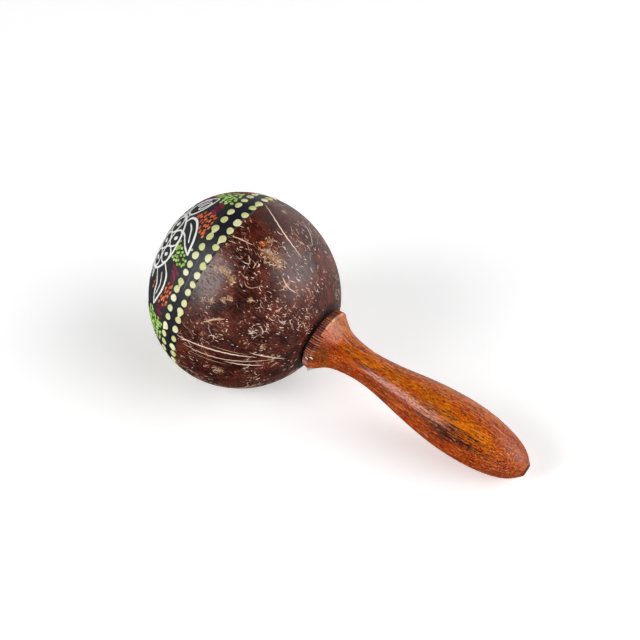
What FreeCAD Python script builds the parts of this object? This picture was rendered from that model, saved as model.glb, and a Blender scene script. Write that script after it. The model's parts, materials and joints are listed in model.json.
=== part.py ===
"""Coconut-shell maraca lying at rest on a table.

A hollow, slightly three-sided coconut shell sits on the round tenon of a turned wooden
handle. Glue holds the tenon in the shell's bore, and a dark filler ring closes the gap
between the handle's flared rim and the shell. Loose round seeds lie inside the shell.

Every piece is first made in the maraca's own frame: the origin is the shell's centre, +X
runs along the handle, and -Z is the flat side of the shell, midway between two ridges.
It is then tipped about Y until the shell and the handle both touch the table, and moved
so that the origin is the middle of the bottom of the whole object's box. Lengths are mm.
"""

import FreeCAD, Part
import math
import os

Vec = FreeCAD.Vector

# Shell
SHELL_HALF_LENGTH = 51.3     # centre to painted tip, along the axis
SHELL_MEAN_RADIUS = 51.7     # across the axis, averaged round it
RIDGE_SHARE = 0.06           # the radius swells and sinks by this share, three times round
SHELL_WALL = 4.0
BORE_RADIUS = 9.3

# Handle
TENON_RADIUS = 9.0
TENON_START = 36.0           # inner end of the tenon, from the shell's centre
TENON_CHAMFER = 0.8
SEAT_START = 51.7            # where the cupped seat meets the tenon
RIM_START = 49.2             # outer edge of the cupped seat
RIM_START_RADIUS = 17.1
LIP_X = 53.0                 # lip at the outer end of the rim band
LIP_RADIUS = 17.5
LIP_ROUNDING = 0.7
HANDLE_END = 176.7
END_FLAT_RADIUS = 3.4
# Places where the handle's outline changes its bend, as (distance along X, radius).
FLARE_TO_END = [
    (56.0, 14.8),            # flare
    (60.0, 12.0),
    (66.5, 9.95),
    (76.0, 8.85),            # neck
    (90.0, 9.75),
    (104.0, 12.1),
    (121.0, 14.6),
    (138.0, 15.5),           # swell, the thickest place
    (152.0, 14.45),
    (164.0, 11.75),
    (172.5, 7.6),
]

# Glue and filler
FILLER_RADIUS = 16.6
GLUE_BEAD_RADIUS = 2.2       # round the tenon, inside the shell
BLOB_X = 52.3                # squeezed-out glue under the rim
BLOB_ANGLE = 49.0            # from -Z towards -Y
BLOB_HALF_LENGTH = 1.7
BLOB_HALF_WIDTH = 2.4
BLOB_HALF_HEIGHT = 1.15

# Seeds
SEED_RADIUS = 3.2
SEED_RADIUS_SPREAD = 0.15
SEED_SCAR_DEPTH = 0.16       # flat scar where the seed hung in its pod
SEED_GAP = 0.5               # between a seed and the shell
SEED_PITCH = 7.3
SEED_PATCH_LENGTH = 18.5     # half the length and width of the patch they lie in
SEED_PATCH_WIDTH = 29.0
SEED_SHUFFLE = 0.25          # how far a seed lies from its place in the even pattern

REACH = 80.0                 # longer than anything a cutting solid has to pass through


def ridged_radius(mean_radius, angle):
    """Radius across the axis at an angle from the top ridge."""
    return mean_radius * (1 + RIDGE_SHARE * math.cos(3 * angle))


def ring_poles(mean_radius, count=24):
    """Control points, as (y, z), of the closed cubic B-spline that traces ridged_radius.

    The spline draws a wave of n periods round the ring at (2 + cos(n * step)) / 3 of the
    size that its control points have, so each wave is enlarged by as much beforehand.
    """
    step = 2 * math.pi / count

    def boost(periods):
        return 3 / (2 + math.cos(periods * step))

    half = RIDGE_SHARE / 2
    poles = []
    for i in range(count):
        angle = i * step
        z = math.cos(angle) * boost(1)
        z += half * (math.cos(4 * angle) * boost(4) + math.cos(2 * angle) * boost(2))
        y = math.sin(angle) * boost(1)
        y += half * (math.sin(4 * angle) * boost(4) - math.sin(2 * angle) * boost(2))
        poles.append((mean_radius * y, mean_radius * z))
    return poles


def coconut_solid(half_length, mean_radius):
    """Solid nut: half an ellipse lengthways, carried round the ridged ring."""
    ring = ring_poles(mean_radius)
    corner = math.sqrt(0.5)
    # x share, radius share and weight of a half circle's five control points
    half_circle = [(-1, 0, 1), (-1, 1, corner), (0, 1, 1), (1, 1, corner), (1, 0, 1)]
    poles = [[Vec(along * half_length, out * y, out * z) for along, out, _ in half_circle]
             for y, z in ring]
    weights = [[weight for _, _, weight in half_circle] for _ in ring]
    surface = Part.BSplineSurface()
    knots_round = list(range(len(ring) + 1))
    surface.buildFromPolesMultsKnots(
        poles, [1] * len(knots_round), [3, 2, 3], knots_round, [0, 1, 2],
        True, False, 3, 2, weights)
    solid = Part.Solid(Part.Shell([surface.toShape()]))
    if solid.Volume < 0:
        solid.reverse()
    return solid


def disc_stack(start, end, radius, inner=0.0):
    """Round bar or tube along the axis."""
    bar = Part.makeCylinder(radius, end - start, Vec(start, 0, 0), Vec(1, 0, 0))
    if inner:
        bar = bar.cut(Part.makeCylinder(inner, end - start, Vec(start, 0, 0), Vec(1, 0, 0)))
    return bar


def turned(edges):
    """Solid turned about the axis from the edges of a closed half outline in the XZ plane."""
    face = Part.Face(Part.Wire(edges))
    return face.revolve(Vec(0, 0, 0), Vec(1, 0, 0), 360)


def outline_line(start, end):
    return Part.LineSegment(Vec(start[0], 0, start[1]), Vec(end[0], 0, end[1])).toShape()


def make_shell(nut, chamber):
    return nut.cut(chamber).cut(disc_stack(0, REACH, BORE_RADIUS))


def make_handle():
    chamfer_end = (TENON_START + TENON_CHAMFER, TENON_RADIUS)
    tenon_face = (TENON_START, TENON_RADIUS - TENON_CHAMFER)
    seat_foot = (SEAT_START, TENON_RADIUS)
    seat_edge = (RIM_START, RIM_START_RADIUS)
    lip_start = (LIP_X - LIP_ROUNDING, LIP_RADIUS)
    lip_end = (LIP_X + 0.4 * LIP_ROUNDING, LIP_RADIUS - LIP_ROUNDING)
    end_rim = (HANDLE_END, END_FLAT_RADIUS)
    flats = [
        outline_line((TENON_START, 0), tenon_face),
        outline_line(tenon_face, chamfer_end),
        outline_line(chamfer_end, seat_foot),
        outline_line(seat_foot, seat_edge),
        outline_line(seat_edge, lip_start),
    ]
    lip = Part.Arc(
        Vec(lip_start[0], 0, lip_start[1]),
        Vec(LIP_X, 0, LIP_RADIUS - 0.25 * LIP_ROUNDING),
        Vec(lip_end[0], 0, lip_end[1])).toShape()
    side = Part.BSplineCurve()
    side.interpolate([Vec(x, 0, r) for x, r in [lip_end] + FLARE_TO_END + [end_rim]])
    closing = [
        outline_line(end_rim, (HANDLE_END, 0)),
        outline_line((HANDLE_END, 0), (TENON_START, 0)),
    ]
    return turned(flats + [lip, side.toShape()] + closing)


def make_filler(nut):
    """Ring that fills the cup of the seat, down to the shell's outer surface."""
    slope = (RIM_START - SEAT_START) / (RIM_START_RADIUS - TENON_RADIUS)
    outer_seat_x = SEAT_START + slope * (FILLER_RADIUS - TENON_RADIUS)
    inside_x = SHELL_HALF_LENGTH - 2 * SHELL_WALL
    corners = [
        (inside_x, TENON_RADIUS),
        (SEAT_START, TENON_RADIUS),
        (outer_seat_x, FILLER_RADIUS),
        (inside_x, FILLER_RADIUS),
    ]
    edges = [outline_line(corners[i], corners[(i + 1) % 4]) for i in range(4)]
    return turned(edges).cut(nut)


def make_tenon_glue(nut, chamber):
    """Glue film in the bore, with a bead round the tenon inside the shell."""
    film = disc_stack(SHELL_HALF_LENGTH - 2.5 * SHELL_WALL, SHELL_HALF_LENGTH, BORE_RADIUS, TENON_RADIUS)
    film = film.common(nut).cut(chamber)
    mouth_x = (SHELL_HALF_LENGTH - SHELL_WALL) * math.sqrt(
        1 - (TENON_RADIUS / (SHELL_MEAN_RADIUS - SHELL_WALL)) ** 2)
    bead = Part.makeTorus(TENON_RADIUS, GLUE_BEAD_RADIUS, Vec(mouth_x, 0, 0), Vec(1, 0, 0))
    bead = bead.cut(disc_stack(TENON_START, REACH, TENON_RADIUS)).common(chamber)
    return film.fuse(bead).removeSplitter()


def make_glue_blob(nut, handle):
    """Drop of glue squeezed out between the shell and the rim."""
    drop = Part.makeSphere(1.0)
    stretch = FreeCAD.Matrix()
    stretch.scale(Vec(BLOB_HALF_LENGTH, BLOB_HALF_WIDTH, BLOB_HALF_HEIGHT))
    drop = drop.transformGeometry(stretch)
    drop.translate(Vec(BLOB_X, 0, -LIP_RADIUS))
    drop.rotate(Vec(0, 0, 0), Vec(1, 0, 0), -BLOB_ANGLE)
    return drop.cut(nut).cut(handle)


def resting_tilt():
    """Angle, in degrees, at which the shell and the handle touch the table together."""
    bottom_radius = ridged_radius(SHELL_MEAN_RADIUS, math.pi)
    handle_side = make_handle()

    def handle_below_shell(degrees):
        tilt = math.radians(degrees)
        shell_depth = math.hypot(SHELL_HALF_LENGTH * math.sin(tilt), bottom_radius * math.cos(tilt))
        tipped = handle_side.copy()
        tipped.rotate(Vec(0, 0, 0), Vec(0, 1, 0), degrees)
        return -tipped.optimalBoundingBox(False, False).ZMin - shell_depth

    low, high = 8.0, 20.0
    while high - low > 1e-4:
        middle = (low + high) / 2
        if handle_below_shell(middle) > 0:
            high = middle
        else:
            low = middle
    return low


def depth_of_chamber(x, y, inset, side):
    """Height on the table's vertical where a chamber shrunk by inset is met, from the centre.

    side is -1 for the floor and 1 for the roof.
    """
    half_length = SHELL_HALF_LENGTH - SHELL_WALL - inset
    mean_radius = SHELL_MEAN_RADIUS - SHELL_WALL - inset
    tilt = math.radians(TILT)

    def inside(height):
        along = x * math.cos(tilt) - height * math.sin(tilt)
        up = x * math.sin(tilt) + height * math.cos(tilt)
        out = math.hypot(y, up)
        edge = ridged_radius(mean_radius, math.atan2(y, up))
        return (along / half_length) ** 2 + (out / edge) ** 2 < 1

    low, high = 0.0, 2 * SHELL_MEAN_RADIUS
    while high - low > 1e-5:
        middle = (low + high) / 2
        if inside(side * middle):
            low = middle
        else:
            high = middle
    return side * low


def seed_places():
    """Each seed's centre on the chamber's floor, its radius and how far it can hop up.

    The seeds lie in one layer, in staggered rows, each a little out of its row.
    Places are on the table's level axes, measured from the shell's centre.
    """
    places = []
    row_pitch = SEED_PITCH * math.sqrt(3) / 2
    rows = int(SEED_PATCH_WIDTH / row_pitch)
    columns = int(SEED_PATCH_LENGTH / SEED_PITCH) + 1
    for row in range(-rows, rows + 1):
        for column in range(-columns, columns + 1):
            x = (column + 0.5 * (row % 2)) * SEED_PITCH
            y = row * row_pitch
            if (x / SEED_PATCH_LENGTH) ** 2 + (y / SEED_PATCH_WIDTH) ** 2 > 1:
                continue
            number = len(places)
            x += SEED_SHUFFLE * math.sin(2.4 * number)
            y += SEED_SHUFFLE * math.cos(1.7 * number)
            radius = SEED_RADIUS + SEED_RADIUS_SPREAD * math.sin(3.1 * number)
            floor = depth_of_chamber(x, y, radius + SEED_GAP, -1)
            roof = depth_of_chamber(x, y, radius + SEED_GAP, 1)
            places.append((Vec(x, y, floor), radius, roof - floor))
    return places


def make_seed(number, centre, radius):
    """Round seed with a small flat scar, turned its own way."""
    seed = Part.makeSphere(radius)
    seed = seed.cut(Part.makeBox(
        2 * radius, 2 * radius, radius, Vec(-radius, -radius, radius - SEED_SCAR_DEPTH)))
    seed.rotate(Vec(0, 0, 0), Vec(1, 0, 0), 137.5 * number)
    seed.rotate(Vec(0, 0, 0), Vec(0, 0, 1), 73.0 * number)
    seed.translate(centre)
    return seed


def maraca_pieces():
    """The fixed pieces, in the maraca's own frame."""
    nut = coconut_solid(SHELL_HALF_LENGTH, SHELL_MEAN_RADIUS)
    chamber = coconut_solid(SHELL_HALF_LENGTH - SHELL_WALL, SHELL_MEAN_RADIUS - SHELL_WALL)
    handle = make_handle()
    return {
        "coconut_shell": make_shell(nut, chamber),
        "handle": handle,
        "joint_filler": make_filler(nut),
        "tenon_glue": make_tenon_glue(nut, chamber),
        "glue_squeeze_out": make_glue_blob(nut, handle),
    }


TILT = resting_tilt()
PIECES = maraca_pieces()
for piece in PIECES.values():
    piece.rotate(Vec(0, 0, 0), Vec(0, 1, 0), TILT)

SEEDS = seed_places()
for index, (place, size, _) in enumerate(SEEDS):
    PIECES["seed_%02d" % (index + 1)] = make_seed(index, place, size)

whole = PIECES["coconut_shell"].optimalBoundingBox(False, False)
whole.add(PIECES["handle"].optimalBoundingBox(False, False))
TO_ORIGIN = Vec(-whole.Center.x, -whole.Center.y, -whole.ZMin)

os.makedirs("parts", exist_ok=True)
for name, piece in PIECES.items():
    piece.translate(TO_ORIGIN)
    piece.exportStep("parts/%s.step" % name)

print("tilt %.3f degrees, shell centre at %s" % (TILT, TO_ORIGIN))
print("size %.1f x %.1f x %.1f mm, %d seeds" % (whole.XLength, whole.YLength, whole.ZLength, len(SEEDS)))
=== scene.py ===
"""Looks of the coconut-shell maraca, built round its CAD frame.

All shapes are made in the maraca's own frame, in millimetres: the origin is the shell's
centre and +X runs along the handle. A place on the shell is given by two angles: polar,
from the painted tip, and turn, round the axis from the side that faces the viewer.
The painting is drawn on a flat map of the painted end, with the tip at (0, 0): a point's
distance from it is its polar angle, and its direction is its turn.
"""

import json
import math

import bmesh
import bpy
import numpy as np
from mathutils import Matrix, Vector


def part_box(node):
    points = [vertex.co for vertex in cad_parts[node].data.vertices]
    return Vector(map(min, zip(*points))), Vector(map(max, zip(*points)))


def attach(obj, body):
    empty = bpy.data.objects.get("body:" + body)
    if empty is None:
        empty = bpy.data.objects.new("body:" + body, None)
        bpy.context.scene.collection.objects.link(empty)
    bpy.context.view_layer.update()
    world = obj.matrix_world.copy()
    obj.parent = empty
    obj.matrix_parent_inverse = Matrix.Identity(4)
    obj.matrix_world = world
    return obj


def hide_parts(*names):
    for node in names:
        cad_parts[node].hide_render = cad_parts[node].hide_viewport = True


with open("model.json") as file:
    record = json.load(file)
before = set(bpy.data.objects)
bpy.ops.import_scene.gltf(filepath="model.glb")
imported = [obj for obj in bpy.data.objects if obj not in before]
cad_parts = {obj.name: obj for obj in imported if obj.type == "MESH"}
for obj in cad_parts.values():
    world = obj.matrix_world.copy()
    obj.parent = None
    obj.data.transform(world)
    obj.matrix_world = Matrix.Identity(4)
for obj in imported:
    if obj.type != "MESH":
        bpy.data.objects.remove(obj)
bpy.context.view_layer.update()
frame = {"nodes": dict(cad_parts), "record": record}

MM = 0.001

# ---- the maraca's own frame

HANDLE_END = 176.7
END_MOUNT = next(m for m in frame["record"]["mounts"] if m["name"] == "handle_end")
AXIS = Vector(END_MOUNT["axis"]).normalized()
ACROSS = Vector((0, 1, 0))
UP = AXIS.cross(ACROSS)
CENTRE = Vector(END_MOUNT["pos_m"]) - AXIS * HANDLE_END * MM
LOCAL = Matrix.Translation(CENTRE) @ Matrix((AXIS, ACROSS, UP)).transposed().to_4x4()

# ---- shell, as in the CAD

HALF_LENGTH = 51.3
MEAN_RADIUS = 51.7
RIDGE_SHARE = 0.06
WALL = 4.0
BORE_RADIUS = 9.3
VIEW_TURN = 41.1             # from the side that faces the viewer to the top ridge
DENT_DEPTH = 0.4
MM_PER_DEGREE = math.radians(1) * 51.5

random = np.random.default_rng(11)
uniform = random.uniform


def unit(vectors):
    return vectors / np.maximum(np.linalg.norm(vectors, axis=-1, keepdims=True), 1e-9)


def soft_waves(lowest, highest, count):
    """A random pattern over directions, about zero, from waves of several frequencies."""
    waves = unit(random.normal(size=(count, 3))) * np.linspace(lowest, highest, count)[:, None]
    phases = uniform(0, math.tau, count)
    return lambda directions: np.sin(directions @ waves.T + phases).mean(-1)


dent_waves = soft_waves(2.5, 8.0, 9)


def dents(directions):
    """How far the nut's skin dips below its even shape, in soft hollows."""
    return DENT_DEPTH * np.clip(0.5 + 1.3 * dent_waves(directions), 0, 1)


def surface(polar, turn, lift=0.0, inset=0.0):
    """Points at a height above the shell's skin; inset makes a smaller shell, as the chamber is."""
    polar, turn, lift = np.broadcast_arrays(polar, turn, lift)
    theta = np.radians(polar)
    phi = np.radians(turn - VIEW_TURN)
    ridge = 1 + RIDGE_SHARE * np.cos(3 * phi)
    length = HALF_LENGTH - inset
    radius = (MEAN_RADIUS - inset) * ridge
    zero = np.zeros_like(theta)
    outward = np.stack([zero, np.sin(phi), np.cos(phi)], -1)
    sideways = np.stack([zero, np.cos(phi), -np.sin(phi)], -1)
    along = np.stack([zero + 1, zero, zero], -1)
    points = along * (-length * np.cos(theta))[..., None]
    points += outward * (radius * np.sin(theta))[..., None]
    slope = 3 * RIDGE_SHARE * np.sin(3 * phi) * np.sin(theta) / (radius * ridge)
    normals = along * (-np.cos(theta) / length)[..., None]
    normals += outward * (np.sin(theta) / radius)[..., None] + sideways * slope[..., None]
    return points + unit(normals) * (lift - dents(unit(points)))[..., None]


def bore_polar(turn, inset):
    """Polar angle at which the shell's wall meets the bore."""
    ridge = 1 + RIDGE_SHARE * np.cos(3 * np.radians(turn - VIEW_TURN))
    return 180 - np.degrees(np.arcsin(BORE_RADIUS / ((MEAN_RADIUS - inset) * ridge)))


def beside(polar, turn, across, along):
    """The place a few millimetres across and along from another, for marks of any shape."""
    ring = MM_PER_DEGREE * np.sin(np.radians(np.maximum(polar, 3.0)))
    return polar + along / MM_PER_DEGREE, turn + across / ring


def from_map(points):
    """Polar and turn of points on the flat map."""
    points = np.asarray(points, float)
    return np.hypot(points[..., 0], points[..., 1]), np.degrees(np.arctan2(points[..., 0], points[..., 1]))


def ring_points(x, radius, angle):
    """Points at a radius from the axis; angle zero is up, and it turns towards +Y."""
    return np.stack([x + 0 * radius, radius * np.sin(angle), radius * np.cos(angle)], -1)


# ---- meshes


class Pile:
    """Points and faces gathered for one piece, from stacks of closed rings."""

    def __init__(self, rings=None, joined=False):
        self.points = []
        self.faces = []
        self.size = 0
        if rings is not None:
            self.add(rings, joined)

    def add(self, rings, joined=False):
        """Skins a stack of rings. Its ends are capped, or joined to each other."""
        rings = np.asarray(rings, float)
        count, around = rings.shape[:2]
        index = np.arange(count * around).reshape(count, around) + self.size
        below = np.vstack([index, index[:1]]) if joined else index
        first = below[:-1]
        second = below[1:]
        quads = np.stack([first, np.roll(first, -1, 1), np.roll(second, -1, 1), second], -1)
        self.faces += quads.reshape(-1, 4).tolist()
        if not joined:
            self.faces += [index[0].tolist(), index[-1].tolist()]
        self.points.append(rings.reshape(-1, 3))
        self.size += count * around

    def all_points(self):
        return np.concatenate(self.points)


def new_object(name, data):
    made = bpy.data.objects.new(name, data)
    bpy.context.scene.collection.objects.link(made)
    return made


def make_piece(name, pile, material, body="maraca", place=LOCAL, values=None, sharp=None):
    """A smooth-shaded object of the pile's mesh, riding on a body."""
    mesh = bpy.data.meshes.new(name)
    points = pile.all_points()
    moved = points * MM @ np.array(place.to_3x3()).T + np.array(place.translation)
    mesh.from_pydata(moved.tolist(), [], pile.faces)
    work = bmesh.new()
    work.from_mesh(mesh)
    bmesh.ops.recalc_face_normals(work, faces=work.faces)
    work.to_mesh(mesh)
    work.free()
    mesh.shade_smooth()
    if sharp:
        mesh.set_sharp_from_angle(angle=math.radians(sharp))
    mesh.attributes.new("place", "FLOAT_VECTOR", "POINT").data.foreach_set("vector", points.ravel())
    for key, numbers in (values or {}).items():
        mesh.attributes.new(key, "FLOAT", "POINT").data.foreach_set("value", numbers.ravel())
    mesh.materials.append(material)
    made = new_object(name, mesh)
    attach(made, body)
    return made


# ---- material shorthand


def srgb(code):
    """Linear colour of a web colour code."""
    parts = [int(code[i:i + 2], 16) / 255 for i in (1, 3, 5)]
    return tuple(p / 12.92 if p < 0.04045 else ((p + 0.055) / 1.055) ** 2.4 for p in parts) + (1,)


class Nodes:
    """Shorthand for adding nodes to a tree."""

    def __init__(self, tree):
        self.nodes = tree.nodes
        self.links = tree.links

    def node(self, kind, inputs, output=0, **settings):
        made = self.nodes.new("ShaderNode" + kind)
        for key, value in settings.items():
            setattr(made, key, value)
        for key, value in inputs.items():
            if isinstance(value, bpy.types.NodeSocket):
                self.links.new(value, made.inputs[key])
            elif value is not None:
                made.inputs[key].default_value = value
        return made.outputs[output]

    def fade(self, value, low, high, start=0.0, end=1.0):
        """Start below low, end above high, and smooth between."""
        inputs = {"Value": value, "From Min": low, "From Max": high, "To Min": start, "To Max": end}
        return self.node("MapRange", inputs, interpolation_type="SMOOTHSTEP")

    def ramp(self, value, *stops):
        """Colours along a value, as (position, web colour or grey level) stops."""
        made = self.node("ValToRGB", {"Fac": value}).node
        while len(made.color_ramp.elements) < len(stops):
            made.color_ramp.elements.new(0.5)
        for element, (position, colour) in zip(made.color_ramp.elements, stops):
            element.position = position
            element.color = srgb(colour) if isinstance(colour, str) else (colour, colour, colour, 1)
        return made.outputs[0]


class Finish(Nodes):
    """One material and its nodes. Keyword values are set on the shader's own sockets.

    A piece made here stores its own frame's coordinates in its mesh; other objects don't.
    """

    def __init__(self, name, made_here=True, **sockets):
        self.made_here = made_here
        self.material = bpy.data.materials.new(name)
        self.material.use_nodes = True
        super().__init__(self.material.node_tree)
        self.shader = self.nodes["Principled BSDF"]
        for socket, value in sockets.items():
            self.shader.inputs[socket.replace("_", " ").title().replace("Ior", "IOR")].default_value = value

    def place(self):
        """Place on the piece, in millimetres."""
        if self.made_here:
            return self.node("Attribute", {}, "Vector", attribute_name="place")
        coordinates = self.node("TexCoord", {}, "Object")
        return self.node("VectorMath", {0: coordinates, "Scale": 1 / MM}, operation="SCALE")

    def along(self):
        """Place along the axis, in millimetres."""
        return self.node("SeparateXYZ", {0: self.place()}, "X")

    def stretched(self, vector, x, y, z):
        return self.node("VectorMath", {0: vector, 1: (x, y, z)}, operation="MULTIPLY")

    def noise(self, vector, scale, detail=3.0, distortion=0.0):
        """Noise at one scale, or at three of its own along x, y and z."""
        if isinstance(scale, tuple):
            vector = self.stretched(vector, *scale)
            scale = 1
        inputs = {"Vector": vector, "Scale": scale, "Detail": detail, "Distortion": distortion}
        return self.node("TexNoise", inputs, "Fac")

    def lines(self, along, around, detail, distortion=0.0):
        """Noise that changes along the axis and, evenly, round it: marks lie along meridians."""
        place = self.place()
        ring = self.node("VectorMath", {0: self.stretched(place, 0, 1, 1)}, operation="NORMALIZE")
        inputs = {0: place, 1: (along, 0, 0), 2: self.stretched(ring, 0, around, around)}
        return self.noise(self.node("VectorMath", inputs, operation="MULTIPLY_ADD"), 1, detail, distortion)

    def value(self, name):
        return self.node("Attribute", {}, "Fac", attribute_name=name)

    def island(self):
        return self.node("NewGeometry", {}, "Random Per Island")

    def calc(self, operation, a, b=None, c=None):
        return self.node("Math", {0: a, 1: b, 2: c}, operation=operation)

    def times(self, a, b):
        return self.calc("MULTIPLY", a, b)

    def plus(self, a, b):
        return self.calc("ADD", a, b)

    def coats(self, colour, *layers):
        """A colour under layers, each given as how much of it shows and its colour."""
        for share, layer in layers:
            inputs = {"Factor": share, 6: colour, 7: srgb(layer) if isinstance(layer, str) else layer}
            colour = self.node("Mix", inputs, 2, data_type="RGBA")
        return colour

    def bump(self, height, depth_mm):
        return self.node("Bump", {"Height": height, "Strength": 1.0, "Distance": depth_mm * MM})

    def done(self, colour=None, roughness=None, normal=None):
        sockets = {"Base Color": colour, "Roughness": roughness, "Normal": normal, "Coat Normal": normal}
        for socket, output in sockets.items():
            if output is not None:
                self.links.new(output, self.shader.inputs[socket])
        return self.material


# ---- materials


def shell_finish():
    f = Finish("lacquered_coconut", specular_ior_level=0.44)
    place = f.place()
    clouds = f.noise(place, 0.1, 4, 0.6)
    streaks = f.lines(0.25, 95, 4, 0.4)
    dark = f.fade(f.lines(0.5, 220, 2), 0.34, 0.46, 0.8, 0)
    # small pale flecks, fewer where the skin is smooth
    flecks = f.lines(0.9, 210, 2, 1.4)
    patchy = f.noise(place, 0.16, 2)
    flecks = f.times(f.fade(flecks, 0.64, 0.69), f.fade(patchy, 0.4, 0.6, 0.1, 0.8))
    flecks = f.times(flecks, f.fade(f.value("calm"), 0.1, 0.8, 1, 0.15))
    # skin rubbed through to the fibre, and rusty stains
    scratchy = f.plus(f.lines(1.1, 150, 4, 2.0), f.noise(place, 1.2, 3, 1.6))
    bare = f.fade(f.calc("MULTIPLY_ADD", f.value("bare"), 0.36, scratchy), 1.24, 1.36, 0, 0.85)
    rust = f.fade(f.plus(f.value("rust"), f.noise(place, 1.5, 3)), 0.95, 1.15)
    # filler smeared round the joint, and painted shade where the shell meets the rim
    filler_smear_and_shade = f.fade(f.calc("MULTIPLY_ADD", clouds, 5, f.along()), 49.3, 51.0, 0, 0.92)
    colour = f.coats(
        f.ramp(clouds, (0.36, "#280502"), (0.5, "#431309"), (0.66, "#602616")),
        (f.fade(streaks, 0.5, 0.76, 0, 0.45), "#5a2417"), (dark, "#0c0201"), (flecks, "#ba8872"),
        (bare, "#a67a5a"), (rust, "#a8500a"), (filler_smear_and_shade, "#0c0505"))
    dull = f.fade(f.lines(0.35, 60, 3), 0.5, 0.62, 0, 0.3)
    roughness = f.plus(f.fade(streaks, 0.42, 0.62, 0.15, 0.28), dull)
    height = f.plus(f.times(streaks, 0.9), f.times(flecks, 0.35))
    height = f.calc("MULTIPLY_ADD", dark, -0.4, height)
    return f.done(colour, roughness, f.bump(height, 0.03))


def fibre_finish():
    """Fibres of two kinds: pinkish ones in the skin and golden tufts where it is rubbed."""
    f = Finish("coconut_fibre", roughness=0.42, specular_ior_level=0.3)
    tone = f.calc("MULTIPLY_ADD", f.noise(f.place(), 0.5, 2), 0.3, f.value("pale"))
    pink = f.ramp(tone, (0.15, "#5a2c1e"), (0.45, "#9a6650"), (0.75, "#dcae94"), (1.0, "#fde6d8"))
    gold = f.ramp(tone, (0.2, "#74462a"), (0.55, "#ac8058"), (0.85, "#d4ae8c"), (1.0, "#f0d6bc"))
    return f.done(f.coats(pink, (f.value("gold"), gold)))


def ground_finish():
    f = Finish("black_ground_paint", specular_ior_level=0.35)
    brushed = f.lines(1.6, 12, 4, 0.3)
    colour = f.coats(srgb("#2a2d2d"), (f.fade(f.along(), -19, -15), "#1b1a25"),
                     (f.fade(brushed, 0.5, 0.78, 0, 0.3), "#43454e"))
    roughness = f.fade(brushed, 0.3, 0.7, 0.32, 0.48)
    return f.done(colour, roughness, f.bump(brushed, 0.05))


def paint_finish(name, dark, middle, pale):
    """Thick hand-dabbed paint, a little different from dab to dab."""
    f = Finish(name, specular_ior_level=0.4)
    place = f.place()
    cloud = f.noise(place, 0.9, 3)
    tone = f.plus(f.times(cloud, 0.55), f.times(f.island(), 0.45))
    colour = f.ramp(tone, (0.25, dark), (0.5, middle), (0.75, pale))
    roughness = f.fade(cloud, 0.35, 0.65, 0.36, 0.5)
    return f.done(colour, roughness, f.bump(f.noise(place, 2.4, 3), 0.05))


def wood_finish():
    f = Finish("stained_lacquered_wood", specular_ior_level=0.42)
    place = f.place()
    along = f.along()
    wavy = f.noise(place, 0.035, 2)
    bent = f.node("VectorMath", {0: place, 1: f.stretched(wavy, 0, 3, 3)}, operation="ADD")
    grain = f.noise(bent, (0.05, 0.9, 0.9), 5, 0.5)
    fine = f.noise(bent, (0.2, 3.2, 3.2), 3, 0.3)
    clouds = f.noise(place, 0.07, 3, 0.5)
    mottle = f.noise(place, (0.55, 1.3, 1.3), 3, 0.6)
    # stain that did not take on the flare, with a ragged edge
    edge = f.noise(place, (0.35, 0.8, 0.8), 4, 0.5)
    bare = f.fade(f.calc("MULTIPLY_ADD", edge, 0.8, f.value("bare")), 0.8, 1.1, 0, 0.9)
    tan = f.ramp(f.noise(place, 0.3, 4, 0.5), (0.35, "#7e3a10"), (0.5, "#9a4f1e"), (0.65, "#b86c30"))
    brown = f.fade(f.calc("MULTIPLY_ADD", edge, 0.5, f.value("brown")), 0.72, 0.82, 0, 0.85)
    pores = f.fade(f.noise(bent, (0.5, 3.2, 3.2), 2, 0.3), 0.58, 0.64)
    flecks = f.fade(f.noise(bent, (0.42, 2.4, 2.4), 3, 0.8), 0.6, 0.66)
    tooth = f.ramp(f.value("tooth"), (0.0, "#3e0a14"), (0.3, "#7a1a20"), (0.5, "#a8441e"), (0.75, "#c87c4a"),
                   (1.0, "#ffe6c8"))
    colour = f.coats(
        f.ramp(grain, (0.3, "#7e1601"), (0.44, "#ac2c02"), (0.56, "#c44603"), (0.7, "#de7006")),
        (f.fade(clouds, 0.46, 0.7, 0, 0.7), "#8e2803"),
        (f.fade(mottle, 0.5, 0.62, 0, 0.8), "#6a1802"),
        (f.fade(fine, 0.52, 0.62, 0, 0.85), "#ea9222"),
        # deeper red stain, and painted shade along the low side
        (f.times(f.value("deep"), f.fade(mottle, 0.3, 0.7, 1.0, 0.7)), "#8c1e00"),
        (f.times(f.value("amber"), f.fade(fine, 0.3, 0.6, 0.25, 1.0)), "#e07c06"),
        (bare, tan),
        (brown, f.coats(srgb("#682c0a"), (f.fade(mottle, 0.4, 0.6), "#7c4012"))),
        (f.times(f.value("scorch"), 0.4), "#762a06"),
        (f.times(pores, 0.9), "#340b02"),
        (f.times(flecks, f.fade(clouds, 0.35, 0.55, 0.3, 0.8)), "#ee8c30"),
        # rim teeth with painted light and shade by side, near-black flute grooves as painted shade, and a
        # pale lip as a painted highlight
        (f.value("rim"), tooth),
        (f.value("groove"), "#140404"), (f.value("lip"), "#ecb886"), (f.value("end"), "#1c0a04"))
    # fine rings left by turning, deepest at the end
    turning = f.times(f.noise(place, (2.2, 0.02, 0.02), 2), f.fade(along, 145, 165, 0.6, 2.6))
    rings = f.times(f.fade(turning, 0.8, 1.6), f.fade(along, 146, 158, 0, 0.3))
    roughness = f.plus(f.fade(grain, 0.3, 0.7, 0.15, 0.24), rings)
    height = f.calc("MULTIPLY_ADD", pores, -1.0, f.calc("MULTIPLY_ADD", fine, 0.8, turning))
    return f.done(colour, roughness, f.bump(height, 0.014))


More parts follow.
